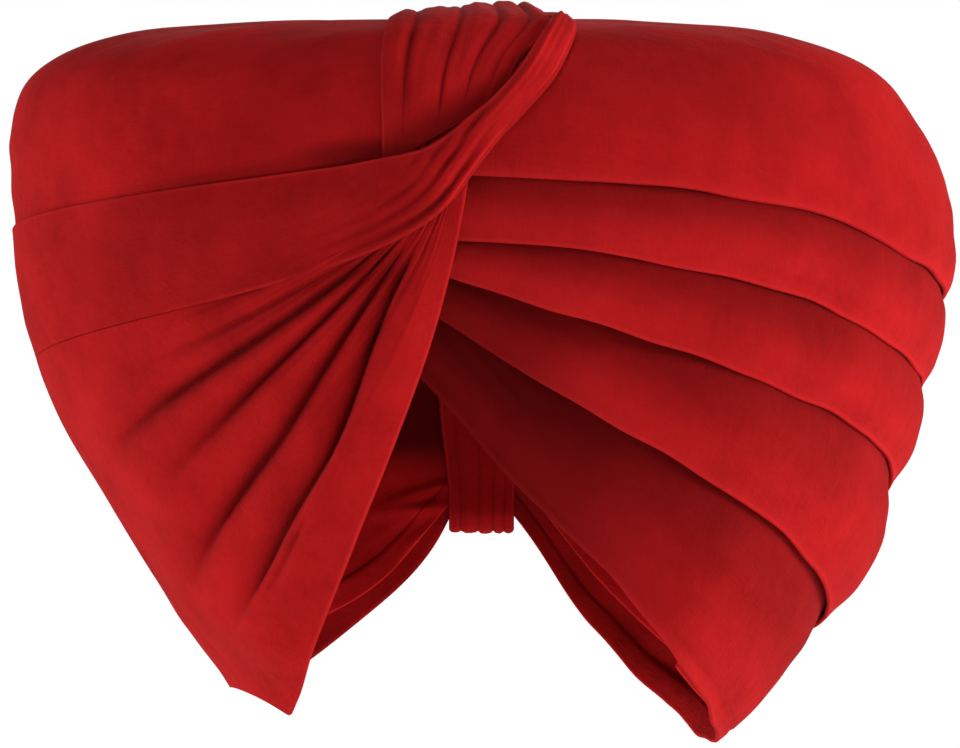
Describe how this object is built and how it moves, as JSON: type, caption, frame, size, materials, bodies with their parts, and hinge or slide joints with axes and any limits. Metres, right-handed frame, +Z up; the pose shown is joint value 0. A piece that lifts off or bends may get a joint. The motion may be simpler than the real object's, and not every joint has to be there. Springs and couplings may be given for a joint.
{
  "type": "pagri turban",
  "caption": "Red cotton turban with folded side wraps, a gathered crown strap and a knotted fan drape that falls to a low point",
  "frame": {"origin": "the middle of the crown's underside, where the turban sits on the top of the head", "axes": "+Z up, the brow faces -Y, +X is the wearer's left; +X is the longest extent"},
  "size_m": [0.3118, 0.2829, 0.2445],
  "materials": {
    "wrap_cotton": "matte cotton voile, loosely woven",
    "inner_cotton": "matte cotton voile, loosely woven",
    "crown_cotton": "matte cotton voile, loosely woven",
    "drape_cotton": "matte cotton voile, loosely woven",
    "strap_cotton": "matte cotton voile, loosely woven"
  },
  "bodies": {
    "root": {"wrap_left_1": "wrap_cotton", "wrap_left_2": "wrap_cotton", "wrap_left_3": "wrap_cotton", "wrap_left_4": "wrap_cotton", "wrap_left_5": "wrap_cotton", "under_wrap_left": "inner_cotton", "under_wrap_right": "inner_cotton", "crown_cover": "crown_cotton", "crossing_band": "drape_cotton", "fan_drape": "drape_cotton", "crown_strap": "strap_cotton"}
  },
  "joints": []
}
